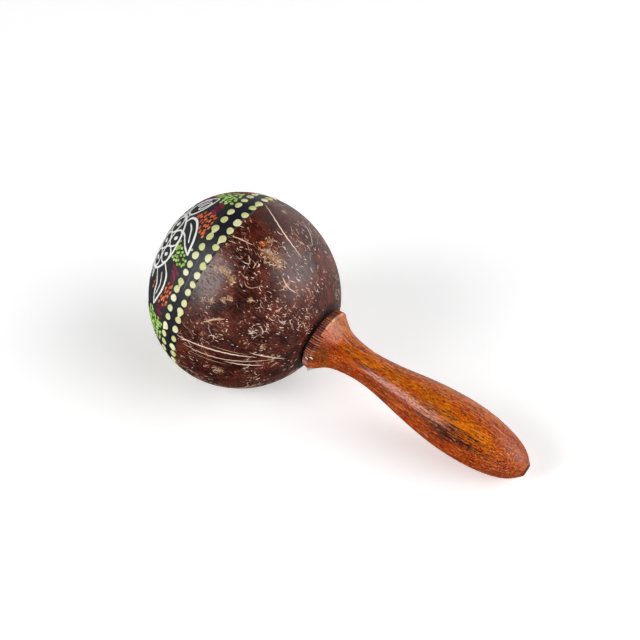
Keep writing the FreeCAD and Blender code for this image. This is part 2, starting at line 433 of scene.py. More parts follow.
def grain_finish():
    f = Finish("wood_grain_lines", roughness=0.3, specular_ior_level=0.4)
    tone = f.calc("MULTIPLY_ADD", f.noise(f.place(), 0.6, 2), 0.12, f.value("tone"))
    return f.done(f.ramp(tone, (0.08, "#140703"), (0.3, "#440e02"), (0.5, "#842204"), (0.7, "#d65c08"),
                         (0.86, "#ec8e30"), (0.98, "#fff4e2")))


def filler_finish():
    f = Finish("dark_filler", specular_ior_level=0.2)
    lumps = f.noise(f.place(), 0.8, 4, 0.5)
    colour = f.ramp(lumps, (0.35, "#060405"), (0.55, "#110c0e"), (0.75, "#2a2024"))
    return f.done(colour, f.fade(lumps, 0.3, 0.7, 0.55, 0.8), f.bump(lumps, 0.25))


def glue_finish(name, tone, made_here=True):
    f = Finish(name, made_here, transmission_weight=0.3, ior=1.48)
    cloud = f.noise(f.place(), 0.9, 3, 0.4)
    colour = f.coats(srgb(tone), (f.fade(cloud, 0.4, 0.65), "#f6f4ec"))
    return f.done(colour, f.fade(cloud, 0.3, 0.7, 0.15, 0.35), f.bump(cloud, 0.12))


def seed_finish():
    f = Finish("dry_seed_coat", coat_weight=0.15, coat_roughness=0.35)
    place = f.place()
    cloud = f.noise(place, 0.5, 4, 0.5)
    speckle = f.noise(place, 3.5, 2)
    colour = f.coats(f.ramp(cloud, (0.3, "#5d4326"), (0.5, "#86683e"), (0.7, "#ab8c5c")),
                     (f.fade(speckle, 0.56, 0.66, 0, 0.7), "#3a2614"), (f.value("scar"), "#d8c7a2"))
    return f.done(colour, f.fade(speckle, 0.3, 0.7, 0.45, 0.65), f.bump(f.noise(place, 1.6, 4), 0.15))


def floor_finish():
    f = Finish("pale_floor", made_here=False, specular_ior_level=0.1, emission_strength=0.3)
    grain = f.noise(f.place(), 0.05, 3)
    return f.done(f.ramp(grain, (0.3, "#f6f6f6"), (0.7, "#f8f8f8")), f.fade(grain, 0.3, 0.7, 0.7, 0.8))


# ---- coconut shell

SHELL_AROUND = 256
# Rubbed and stained places, as (polar, turn, size in mm)
BARE_SPOTS = [(86, 1, 2), (90, 2, 2), (94, 2, 2.5), (98, 1, 2.5), (103, 31, 2), (106, 25, 3), (110, 25, 4),
              (115, 25, 3), (126, 17, 2), (89, -19, 1.5), (94, -17, 1.5), (99, -13, 1.5), (102, -10, 1.5),
              (113, -4, 1.5), (97, -29, 1.5), (102, -25, 1), (141, -45, 2), (95, 55, 1.5), (132, -33, 1.5),
              (100, 140, 4), (118, 165, 3), (96, 230, 4), (128, 250, 3.5), (112, 300, 3)]
RUST_SPOTS = [(101, 27, 2), (118, -33, 1), (126, -9, 1), (93, 150, 2)]


def nearness(points, spots):
    """One at the middle of a spot (polar, turn, size in mm), fading to nothing round it."""
    total = np.zeros(points.shape[:-1])
    for polar, turn, size in spots:
        gap = np.linalg.norm(points - surface(polar, turn), axis=-1)
        total = np.maximum(total, np.exp(-(gap / size) ** 2))
    return total


def make_shell():
    turn = np.arange(SHELL_AROUND) * 360 / SHELL_AROUND
    outside = [surface(share * bore_polar(turn, 0), turn) for share in np.linspace(0.003, 1, 170)]
    inside = [surface(share * bore_polar(turn, WALL), turn, 0, WALL) for share in np.linspace(1, 0.006, 60)]
    pile = Pile(outside + inside)
    points = pile.all_points()
    values = {"bare": nearness(points, BARE_SPOTS), "rust": nearness(points, RUST_SPOTS),
              "calm": nearness(points, SMOOTH)}
    made = make_piece("coconut_shell_skin", pile, shell_finish(), values=values, sharp=50)
    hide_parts("coconut_shell")


# ---- brush marks

DAB_SCALES = np.array([1.0, 1.0, 0.94, 0.82, 0.62, 0.36, 0.12])
DAB_HEIGHTS = np.array([-1.0, 0.1, 0.55, 0.82, 0.95, 1.0, 1.0])
BURIED = 0.12                # how deep paint's underside lies in the shell
LINE_SIDES = np.radians([0, 28, 60, 90, 120, 152, 180])


def dab(pile, polar, turn, half_length, half_width, height, heading=0.0, tail=0.0, bend=0.0, points=18):
    """A domed dab of paint. Heading is from along the meridian; a tail draws its far end out."""
    angle = np.arange(points) * math.tau / points
    phases = uniform(0, math.tau, 2)
    wobble = 1 + 0.05 * np.sin(2 * angle + phases[0]) + 0.035 * np.sin(3 * angle + phases[1])
    forward = np.cos(angle)
    length = half_length * wobble * forward + tail * np.clip(forward, 0, 1) ** 9
    width = half_width * wobble * np.sin(angle) * (1 - min(tail, 1) * 0.35 * np.clip(forward, 0, 1))
    width = width + bend * (length / half_length) ** 2
    turned = math.radians(heading)
    across = length * math.sin(turned) + width * math.cos(turned)
    along = length * math.cos(turned) - width * math.sin(turned)
    rings = []
    for scale, share in zip(DAB_SCALES, DAB_HEIGHTS):
        lift = share * height if share > 0 else -BURIED
        rings.append(surface(*beside(polar, turn, across * scale, along * scale), lift))
    pile.add(rings)


def curve_through(points, step, closed=False):
    """Closely spaced points of the smooth curve through a few."""
    points = np.asarray(points, float)
    if closed:
        guides = np.vstack([points[-1:], points, points[:2]])
    else:
        guides = np.vstack([2 * points[0] - points[1], points, 2 * points[-1] - points[-2]])
    found = []
    for before, start, end, after in zip(guides[:-3], guides[1:-2], guides[2:-1], guides[3:]):
        count = max(2, int(np.linalg.norm(end - start) / step) + 1)
        share = np.linspace(0, 1, count, endpoint=False)[:, None]
        bow = (end - before) * share + (2 * before - 5 * start + 4 * end - after) * share ** 2
        bow += (3 * start - before - 3 * end + after) * share ** 3
        found.append(start + bow / 2)
    if not closed:
        found.append(points[-1:])
    return np.concatenate(found)


def path_on(skin, first, second, closed=False):
    """Points of a path on a skin, with the directions up from the skin and across the path."""
    path = skin(first, second, 0.0)
    above = unit(skin(first, second, 1.0) - path)
    if closed:
        run = np.roll(path, -1, 0) - np.roll(path, 1, 0)
    else:
        run = np.gradient(path, axis=0)
    return path, above, unit(np.cross(above, run))


def stroke(pile, polar, turn, width, height, closed=False, taper=0.35):
    """A raised line of paint along a path on the shell. Returns the path's points."""
    path, above, side = path_on(surface, polar, turn, closed)
    share = np.linspace(0, 1, len(path))
    phase = uniform(0, math.tau, 2)
    size = 1 + 0.1 * np.sin(9 * share + phase[0]) + 0.06 * np.sin(23 * share + phase[1])
    if not closed:
        size *= taper + (1 - taper) * np.clip(np.minimum(share, 1 - share) * 9, 0, 1) ** 0.6
    rings = [path + side * (0.5 * width * np.cos(a) * size)[:, None] + above * (height * math.sin(a) ** 0.7)
             for a in LINE_SIDES]
    rings += [path + side * (0.5 * width * size)[:, None] * end - above * BURIED for end in (-1, 1)]
    pile.add(np.stack(rings, 1), joined=closed)
    return path


# ---- painted cap

ROW_WAVE = 1.7               # the rows follow the nut's three ridges
OUTER_ROW = 79.8
INNER_ROW = 71.4
OUTER_COUNT = 56
INNER_COUNT = 55
CREAM_RADIUS = 2.05


def row_polar(middle, turn):
    return middle + ROW_WAVE * np.cos(3 * np.radians(turn - VIEW_TURN))


def make_ground(material):
    """The black ground: a skin of paint with an uneven brushed edge."""
    turn = np.arange(240) * 1.5
    wave = np.radians(turn)
    ragged = 0.35 * np.sin(11 * wave) + 0.35 * np.sin(27 * wave + 1) + 0.25 * np.sin(58 * wave)
    edge = row_polar(OUTER_ROW + 1.9, turn) + ragged
    top = [surface(share * edge, turn, 0.1) for share in np.linspace(0.006, 0.985, 90)]
    rim = [surface(edge, turn, 0.02)]
    under = [surface(share * edge, turn, -BURIED) for share in np.linspace(1, 0.006, 60)]
    make_piece("black_ground", Pile(top + rim + under), material)


def make_cream_rows(material):
    pile = Pile()
    rows = [(OUTER_ROW, OUTER_COUNT, -47.5, {2: 1.7, 10: 2.2, 15: 1.5, 27: 1.6, 36: 1.9, 48: 1.6}),
            (INNER_ROW, INNER_COUNT, -51.0, {0: 1.6, 5: 2.0, 11: 2.0, 24: 1.7, 33: 1.8, 45: 1.9})]
    for middle, count, start, drawn_out in rows:
        for i in range(count):
            turn = start + i * 360 / count + uniform(-0.6, 0.6)
            polar = row_polar(middle, turn) + uniform(-0.35, 0.35)
            size = CREAM_RADIUS * uniform(0.88, 1.06)
            tail = drawn_out.get(i, 0)
            if tail:
                size *= 1.12
            heading = -90 + uniform(-18, 18)
            dab(pile, polar, turn, size * uniform(0.96, 1.1), size * uniform(0.94, 1.06), 0.42,
                heading, tail, points=24)
    make_piece("cream_dot_rows", pile, material)


# Turtle, on the flat map in its own directions: first towards its head, then away from the tip
TURTLE_MIDDLE = np.array([-1.0, 34.0])
TURTLE_HEADING = 10.0
CARAPACE = (19.0, 18.0)
HEAD = [(22, 3), (27, 6), (32, 6), (37, 4), (41, 0), (37, -4), (32, -6), (27, -6), (22, -3)]
FRONT_FLIPPER = [(17, 7), (22, 8), (24, 14), (21, 21), (14, 27), (4, 31)]
FRONT_FLIPPER_BACK = [(4, 31), (8, 24), (12, 18), (13, 13)]
FRONT_FLIPPER_RIB = [(20, 12), (18, 18), (11, 25)]
REAR_FLIPPER = [(-11, 15), (-18, 21), (-27, 20), (-34, 15), (-40, 8)]
REAR_FLIPPER_BACK = [(-40, 8), (-33, 9), (-26, 11), (-18, 7)]
REAR_FLIPPER_RIB = [(-18, 15), (-26, 16), (-34, 11)]
TAIL = [(-19, 2), (-25, 0), (-19, -2)]
FAR_LIMBS = 0.78             # the limbs near the tip are shorter
SCUTES = [(-12.2, 0, 6.0, 5.6), (0, 0, 6.2, 5.8), (12.2, 0, 6.0, 5.6),
          (-6.2, 11.2, 6.1, 5.4), (6.2, 11.2, 6.1, 5.4), (-6.2, -11.2, 6.1, 5.4), (6.2, -11.2, 6.1, 5.4)]


def oval(middle_u, middle_v, half_u, half_v, corners=0.0, count=20):
    angle = np.arange(count) * math.tau / count
    size = 1 + corners * np.cos(6 * angle)
    return np.stack([middle_u + half_u * size * np.cos(angle), middle_v + half_v * size * np.sin(angle)], -1)


def turtle_map(points, flipped):
    """From the turtle's own directions to the flat map."""
    heading = math.radians(TURTLE_HEADING)
    ahead = np.array([math.cos(heading), math.sin(heading)])
    aside = np.array([-math.sin(heading), math.cos(heading)])
    points = np.asarray(points, float)
    placed = TURTLE_MIDDLE + points[:, :1] * ahead + points[:, 1:] * aside
    return -placed if flipped else placed


def mirrored(points, share):
    return [(u, -v * share) for u, v in points]


def turtle_lines():
    """(points, width in mm, whether closed) of each line of one turtle."""
    lines = [(oval(0, 0, *CARAPACE), 1.5, True)]
    for u, v, half_u, half_v in SCUTES:
        lines.append((oval(u, v, half_u, half_v, 0.04), 1.15, True))
    lines.append((HEAD, 1.25, True))
    for side in (1, -1):
        lines.append((oval(32.0, 2.6 * side, 4.4, 1.7, count=14), 0.75, True))
        lines.append(([(17.6, 3.6 * side), (22.5, 2.6 * side)], 1.1, False))
    for limb, width in ((FRONT_FLIPPER, 1.5), (FRONT_FLIPPER_BACK, 1.2), (FRONT_FLIPPER_RIB, 1.0),
                        (REAR_FLIPPER, 1.35), (REAR_FLIPPER_BACK, 1.1), (REAR_FLIPPER_RIB, 0.9)):
        lines.append((limb, width, False))
        lines.append((mirrored(limb, FAR_LIMBS), width, False))
    lines.append((TAIL, 1.0, False))
    return lines


def make_turtles(material):
    """Draws both turtles. Returns the points of their lines, which keep other marks off."""
    pile = Pile()
    drawn = []
    for flipped in (False, True):
        for points, width, closed in turtle_lines():
            path = curve_through(turtle_map(points, flipped), 0.7, closed)
            drawn.append(stroke(pile, *from_map(path), width, 0.24, closed))
        for u, v, half_u, half_v in SCUTES:
            middle = turtle_map([(u + uniform(-0.4, 0.4), v + uniform(-0.4, 0.4))], flipped)[0]
            dab(pile, *from_map(middle), half_v * 0.36, half_v * 0.24, 0.2, uniform(-25, 25), points=14)
    make_piece("turtle_lines", pile, material)
    return np.concatenate(drawn)


def inside_outline(places, outline):
    """Whether points of the flat map lie inside a closed outline."""
    x, y = places[:, :1], places[:, 1:]
    ax, ay = outline.T
    bx, by = np.roll(outline, -1, 0).T
    with np.errstate(divide="ignore", invalid="ignore"):
        crossing = ((ay > y) != (by > y)) & (x < (bx - ax) * (y - ay) / (by - ay) + ax)
    return crossing.sum(1) % 2 == 1


def turtle_outlines():
    limbs = [FRONT_FLIPPER + FRONT_FLIPPER_BACK[1:], REAR_FLIPPER + REAR_FLIPPER_BACK[1:]]
    shapes = [oval(0, 0, *CARAPACE), HEAD] + limbs + [mirrored(limb, FAR_LIMBS) for limb in limbs]
    placed = [turtle_map(shape, flipped) for shape in shapes for flipped in (False, True)]
    return [curve_through(outline, 1.0, True) for outline in placed]


def scatter(polar_range, turn_range, pitch_along, pitch_across):
    """Staggered places over a patch, in polar and turn, each shaken a little."""
    places = []
    rows = np.arange(polar_range[0], polar_range[1], pitch_along / MM_PER_DEGREE)
    for number, polar in enumerate(rows):
        step = pitch_across / (MM_PER_DEGREE * math.sin(math.radians(polar)))
        for turn in np.arange(turn_range[0] + step * 0.5 * (number % 2), turn_range[1], step):
            shaken = uniform(-0.28, 0.28, 2) * (pitch_across, pitch_along)
            places.append(beside(polar, turn, *shaken))
    return np.array(places)


def clear_places(places, lines, outlines, gap):
    """The places that lie off the turtles and off their lines."""
    theta = np.radians(places[:, 1])
    flat = places[:, :1] * np.stack([np.sin(theta), np.cos(theta)], -1)
    keep = np.ones(len(places), bool)
    for outline in outlines:
        keep &= ~inside_outline(flat, outline)
    points = surface(places[:, 0], places[:, 1])
    nearest = np.min(np.linalg.norm(points[:, None] - lines[None], axis=-1), 1)
    return places[keep & (nearest > gap)]


GREEN_TURNS = [-61, -3, 47, 99, 150, 201, 251]


def patch_outer(turn):
    return row_polar(INNER_ROW, turn) - CREAM_RADIUS / MM_PER_DEGREE - 1.1


def make_dot_patches(materials, lines):
    """Patches of dabs and leaves between the turtles and the rows, and near the tip."""
    outlines = turtle_outlines()
    green, orange, maroon, pink = Pile(), Pile(), Pile(), Pile()

    def patch(polars, turns, along, across, gap):
        return clear_places(scatter(polars, turns, along, across), lines, outlines, gap)

    def dabs(pile, places, lengths, widths, height, headings, points=10):
        for polar, turn in places:
            dab(pile, polar, turn, uniform(*lengths), uniform(*widths), height,
                uniform(*headings), points=points)

    short_strokes = (1.0, 1.35), (0.55, 0.7), 0.28
    for start, following in zip(GREEN_TURNS, GREEN_TURNS[1:] + [GREEN_TURNS[0] + 360]):
        sector = following - start
        for polar, turn in patch((51, patch_outer(start)), (start - 7.5, start + 8), 2.15, 2.2, 1.3):
            size = uniform(0.74, 0.96)
            dab(green, polar, turn, size * uniform(1, 1.3), size, 0.3, uniform(-60, 60), points=10)
        centre = start + 0.465 * sector
        places = patch((47, patch_outer(centre)), (centre - 8, centre + 8.5), 1.85, 2.75, 1.5)
        dabs(orange, places, *short_strokes, (53, 97))
        for share, lean in ((0.21, 18), (0.73, -30)):
            middle = start + share * sector
            places = [(uniform(61.5, 63.5), middle + gap) for gap in (-3.6, 0, 3.6)]
            for polar, turn in clear_places(np.array(places), lines, outlines, 1.5):
                dab(maroon, polar, turn, uniform(3.4, 4.4), uniform(1.05, 1.35), 0.18,
                    lean + uniform(-12, 12), bend=uniform(-0.7, 0.7))
    near_tip = ((pink, (37, 52), 12, 2.1, 3.6, (1.3, 1.8), (0.6, 0.8), 0.24, (50, 110), 12),
                (green, (22, 33), 20, 2.1, 2.3, (0.7, 1.0), (0.6, 0.8), 0.28, (-60, 60)),
                (orange, (11.5, 18), 30, 2.2, 2.9, *short_strokes, (50, 110)))
    for middle in (60, 240):
        for pile, polars, reach, along, across, *brush in near_tip:
            dabs(pile, patch(polars, (middle - reach, middle + reach), along, across, 1.6), *brush)
    for ring, count in ((0.6, 1), (3.2, 6), (5.9, 11)):
        for turn in np.arange(count) * 360 / count:
            dab(pink, ring, turn + uniform(-5, 5), 0.95, 0.8, 0.28, uniform(0, 90), points=12)
    for pile, name, slot in ((green, "green_dots", "green_paint"), (orange, "orange_strokes", "orange_paint"),
                             (maroon, "maroon_leaves", "maroon_paint"), (pink, "pink_strokes", "pink_paint")):
        make_piece(name, pile, materials[slot])


def make_brush_ridges(material):
    """Raised brush ridges between the two cream rows, coloured pale grey as a painted highlight."""
    pile = Pile()
    marks = ((-24, 26, 75.2), (-21, 12, 76.4), (-8, 16, 74.3), (62, 20, 75), (130, 24, 76), (205, 22, 75),
             (265, 15, 76))
    for start, length, polar in marks:
        turn = np.linspace(start, start + length, 26)
        wander = 0.5 * np.sin((turn - start) / length * 3.1 + start)
        stroke(pile, row_polar(polar, turn) + wander, turn, 0.3, 0.13, taper=0.05)
    make_piece("brush_ridge_highlights", pile, material)


# ---- pale fibres in the shell

FIBRE_COUNT = 3300
# Long marks: start polar and turn, end polar and turn, bow in degrees, width in mm, paleness
LONG_FIBRES = [(84, 51, 123, 39, -3.5, 0.6, 0.95), (105, 63, 121, 54, 2, 0.5, 0.85),
               (80, -50, 131, -43, 1, 0.6, 0.85), (87, -52, 141, -45, -1, 0.5, 0.7),
               (92, -54, 116, -53, 0, 0.35, 0.45), (114, -51, 137, -51, 0, 0.55, 0.8),
               (126, -40, 149, -46, 1, 0.5, 0.8), (104, -43, 122, -42, 0, 0.3, 0.5),
               (94, -32, 105, -23, 1, 0.9, 0.6), (83, 21, 97, 23, 0, 0.55, 0.7),
               (98, 17, 102, 13, 1, 0.4, 0.6), (121, 20, 134, 19, -2, 0.5, 0.75),
               (104, 4, 113, 6, -3, 0.4, 0.5), (95, 120, 130, 133, 2, 0.6, 0.8),
               (104, 160, 141, 150, 3, 0.5, 0.7), (92, 205, 118, 206, -5, 0.6, 0.8),
               (98, 262, 139, 268, -6, 0.55, 0.8), (108, 280, 137, 282, -5, 0.45, 0.6)]
# Where fibres crowd, and where the skin is smooth, as (polar, turn, size in mm)
CROWDED = [(108, 54, 7), (119, 50, 8), (87, 26, 5), (104, 22, 7), (115, 32, 8), (128, 25, 10),
           (140, 30, 9), (134, -6, 7), (123, -22, 7), (149, 8, 8), (110, 150, 12), (125, 190, 10),
           (105, 240, 12), (130, 290, 12)]
SMOOTH = [(80, -14, 7), (86, -8, 8), (90, 45, 6), (98, 58, 7), (106, 80, 9), (104, -2, 5),
          (112, -3, 6), (97, -20, 4), (102, -66, 8), (119, -70, 11), (142, -68, 8), (84, 100, 10),
          (90, 180, 10), (86, 270, 9)]


def strip(pile, skin, first, second, width, height):
    """A thin strip that tapers to both ends, just proud of a skin. Returns its point count."""
    path, above, side = path_on(skin, first, second)
    share = np.linspace(0, 1, len(path))
    half = (0.5 * width * (0.12 + 0.88 * np.sin(math.pi * share) ** 0.6))[:, None]
    pile.add(np.stack([path + side * half, path + above * height, path - side * half, path - above * 0.1], 1))
    return 4 * len(path)


def crowding(points):
    """Share of fibres kept at each point: uneven cover, in soft patches."""
    waves = unit(random.normal(size=(6, 3))) * uniform(5, 15, (6, 1))
    phases = uniform(0, math.tau, 6)
    uneven = np.clip(0.5 + 1.4 * np.sin(unit(points) @ waves.T + phases).mean(-1), 0.12, 1)
    return np.maximum(0.62 * uneven, nearness(points, CROWDED)) * (1 - 0.93 * nearness(points, SMOOTH))


def make_fibres(material):
    pile = Pile()
    pale = []
    gold = []

    def add(polar, turn, width, tone, golden=0.0, height=0.035):
        count = strip(pile, surface, polar, turn, width, height)
        pale.extend([tone] * count)
        gold.extend([golden] * count)

    def curled(polar, turn, length, lean, curl, steps=5):
        share = np.linspace(-0.5, 0.5, steps)
        heading = lean + curl * share * 2
        return beside(polar, turn, length * share * np.sin(heading), length * share * np.cos(heading))

    tries = 8 * FIBRE_COUNT
    polars = np.degrees(np.arccos(uniform(-0.93, 0.13, tries)))
    turns = uniform(0, 360, tries)
    kept = np.flatnonzero(random.random(tries) < crowding(surface(polars, turns)))[:FIBRE_COUNT]
    for polar, turn in zip(polars[kept], turns[kept]):
        lean = random.normal(0, 0.4) if random.random() < 0.75 else uniform(-1.6, 1.6)
        length = min(0.7 + random.exponential(1.05), 5.5)
        place = curled(polar, turn, length, lean, random.normal(0, 0.3))
        add(*place, uniform(0.17, 0.46), 0.05 + 0.9 * random.random() ** 1.4)
    for polar, turn, size in BARE_SPOTS:
        for _ in range(int(3 + 5 * size)):
            middle = beside(polar, turn, *random.normal(0, 0.55 * size, 2))
            place = curled(*middle, uniform(0.9, 3.2), uniform(-1.5, 1.5), random.normal(0, 0.5))
            add(*place, uniform(0.25, 0.55), uniform(0.15, 0.8), 1.0, 0.045)
    for polar0, turn0, polar1, turn1, bow, width, tone in LONG_FIBRES:
        share = np.linspace(0, 1, 3 + int(math.hypot(polar1 - polar0, turn1 - turn0) / 1.5))
        shaken = bow * np.sin(math.pi * share) + 0.12 * np.sin(np.arange(len(share)) * 1.9)
        turn = turn0 + share * (turn1 - turn0) + shaken
        add(polar0 + share * (polar1 - polar0), turn, 1.15 * width, tone, 0.45, 0.07)
    values = {"pale": np.array(pale), "gold": np.array(gold)}
    make_piece("shell_fibres", pile, material, values=values)


# ---- handle

TENON_RADIUS = 9.0
TENON_START = 36.0
SEAT_START = 51.7
RIM_START = 49.2
RIM_START_RADIUS = 17.1
LIP_X = 53.0
LIP_RADIUS = 17.5
END_FLAT_RADIUS = 3.4
OUTLINE = [(53.28, 16.8), (56.0, 14.8), (60.0, 12.0), (66.5, 9.95), (76.0, 8.85), (90.0, 9.75), (104.0, 12.1),
           (121.0, 14.6), (138.0, 15.5), (152.0, 14.45), (164.0, 11.75), (172.5, 7.6), (176.7, 3.4)]
TEETH = 76
TOOTH_PROFILE = np.array([0.0, 0.0, 0.1, 0.6, 1.0, 1.0, 0.8, 0.3])
FLUTE_DEPTH = 1.0


def natural_spline(points, count):
    """Points of the smoothest curve through the given ones, as a thin spring would lie."""
    points = np.asarray(points, float)
    run = np.concatenate([[0], np.cumsum(np.linalg.norm(np.diff(points, axis=0), axis=1))])
    gaps = np.diff(run)[:, None]
    size = len(points)
    system = np.zeros((size, size))
    target = np.zeros((size, 2))
    system[0, 0] = system[-1, -1] = 1
    slopes = np.diff(points, axis=0) / gaps
    for i in range(1, size - 1):
        system[i, i - 1:i + 2] = gaps[i - 1, 0], 2 * (gaps[i - 1, 0] + gaps[i, 0]), gaps[i, 0]
        target[i] = 6 * (slopes[i] - slopes[i - 1])
    bends = np.linalg.solve(system, target)
    place = np.linspace(0, run[-1], count)
    part = np.clip(np.searchsorted(run, place, side="right") - 1, 0, size - 2)
    gap = gaps[part]
    near = ((place - run[part]) / gap[:, 0])[:, None]
    far = 1 - near
    bow = (far ** 3 - far) * bends[part] + (near ** 3 - near) * bends[part + 1]
    return far * points[part] + near * points[part + 1] + bow * gap ** 2 / 6


def smooth_step(values, low, high):
    share = np.clip((values - low) / (high - low), 0, 1)
    return share * share * (3 - 2 * share)


# Marks in the wood, and one band of painted shade: start x and turn, end x and turn, half width in mm,
# strength
SCORCHES = [(133, -10, 146, -4, 1.1, 1.0), (125, -30, 136, -37, 1.2, 0.9), (143, -23, 159, -26, 1.1, 1.0),
            (128, -20, 150, -14, 2.2, 0.6), (124, -24, 152, -30, 2.2, 0.62), (118, 0, 132, 5, 1.3, 0.6),
            (112, -24, 128, -18, 1.2, 0.6), (120, 150, 142, 160, 1.8, 0.8), (140, 215, 158, 205, 1.6, 0.8)]
# Deeper red stain in patches; the long band from the flare to the end along the low side is painted shade
DEEP_AND_LOW_SHADE = [(58, -14, 67, 10, 5.5, 1.0), (66, -48, 176, -62, 7.0, 0.7), (156, 48, 168, 50, 6.0, 0.6),
        (112, -30, 156, -42, 3.5, 0.6), (80, -22, 116, -26, 2.4, 0.5), (100, 130, 150, 110, 8.0, 0.6),
        (70, 200, 130, 230, 7.0, 0.6)]
AMBER = [(68, 14, 84, 24, 3.5, 0.6), (122, 8, 150, 2, 3.6, 0.8), (92, 30, 120, 24, 3.4, 0.5),
         (118, 62, 148, 72, 4.0, 0.5), (80, 170, 120, 180, 5.0, 0.5)]


def near_lines(x, turn, radius, marks):
    """One on the middle line of a mark on the handle, fading to nothing beside it."""
    total = np.zeros(np.broadcast(x, turn).shape)
    for x0, turn0, x1, turn1, half_width, strength in marks:
        share = np.clip((x - x0) / (x1 - x0), 0, 1)
        gap = (turn - turn0 - share * (turn1 - turn0) + 180) % 360 - 180
        aside = np.radians(gap) * radius / half_width
        beyond = (x - x0 - share * (x1 - x0)) / (2.0 * half_width)
        total = np.maximum(total, strength * np.exp(-aside ** 2 - beyond ** 2))
    return total


SIDE = natural_spline(OUTLINE, 128)


def unevenness(x, angle):
    """How far the hand-sanded wood lies below its outline."""
    ripple = 0.05 * np.sin(2 * angle + 0.05 * x) + 0.04 * np.sin(3 * angle - 0.08 * x + 1)
    return 0.12 + ripple + 0.03 * np.sin(7 * angle + 0.21 * x)


def handle_skin(x, turn, lift):
    angle = np.radians(turn - VIEW_TURN)
    radius = np.interp(x, SIDE[:, 0], SIDE[:, 1]) - unevenness(x, angle) + 0.01 + lift
    return ring_points(x, radius, angle)


GRAIN_COUNT = 2600
RIM_CHIPS = [(50.5, -47, 52.5, -49), (53, -42, 55, -44)]     # start x and turn, end x and turn
# the tan place that the stain left bare, as x and turn with their spreads, and the smooth brown one beside it
BARE_FLARE = (56.5, 6.0, 52, 36)
BROWN_FLARE = (60.5, -62, -4)


def bare_flare(x, turn):
    middle, spread, facing, sweep = BARE_FLARE
    return np.exp(-((x - middle) / spread) ** 2) * np.exp(-((turn - facing) / sweep) ** 2)


def chip_skin(x, turn, lift):
    """The outside of the rim's ridges, carried on as a cone past the lip."""
    angle = np.radians(turn - VIEW_TURN)
    radius = np.interp(x, [RIM_START, LIP_X, 54.0], [RIM_START_RADIUS, LIP_RADIUS, 16.8]) + 0.08 + lift
    return ring_points(x, radius, angle)


def make_grain(material):
    """Fine lines along the handle: dark pores, bright grain, scorched streaks and torn chips."""
    pile = Pile()
    tones = []

    def add(x, turn, length, lean, width, tone, height=0.02):
        share = np.linspace(-0.5, 0.5, 5)
        across = np.degrees(lean * length * share / np.interp(x, SIDE[:, 0], SIDE[:, 1]))
        along = np.clip(x + length * share, 50.5, HANDLE_END - 1)
        tones.extend([tone] * strip(pile, handle_skin, along, turn + across, width, height))

    brown_end, brown_low, brown_high = BROWN_FLARE
    for _ in range(GRAIN_COUNT):
        x = 56 + 119 * random.random()
        turn = uniform(-180, 180)
        length = min(1.2 + random.exponential(2.6), 11)
        bright = random.random() < 0.34
        tone = uniform(0.6, 0.84) if bright else uniform(0.04, 0.34)
        width = uniform(0.14, 0.36)
        brown = x < brown_end and brown_low < turn < brown_high
        if random.random() > max(0.85 * bare_flare(x, turn), 0.9 * brown):
            add(x, turn, length, random.normal(0, 0.03), width, tone)
    for x0, turn0, x1, turn1, half_width, strength in SCORCHES:
        for _ in range(int((x1 - x0) * half_width * strength * 0.9)):
            share = random.random()
            x = x0 + share * (x1 - x0)
            aside = np.degrees(random.normal(0, 0.8 * half_width) / 14)
            length = uniform(4, 17)
            add(x, turn0 + share * (turn1 - turn0) + aside, length, random.normal(0.02, 0.03),
                uniform(0.12, 0.36), uniform(-0.05, 0.14), 0.03)
    for x0, turn0, x1, turn1 in RIM_CHIPS:
        along = np.linspace(x0, x1, 5)
        tones.extend([1.0] * strip(pile, chip_skin, along, np.linspace(turn0, turn1, 5), 1.0, 0.18))
    make_piece("handle_grain", pile, material, values={"tone": np.array(tones)})


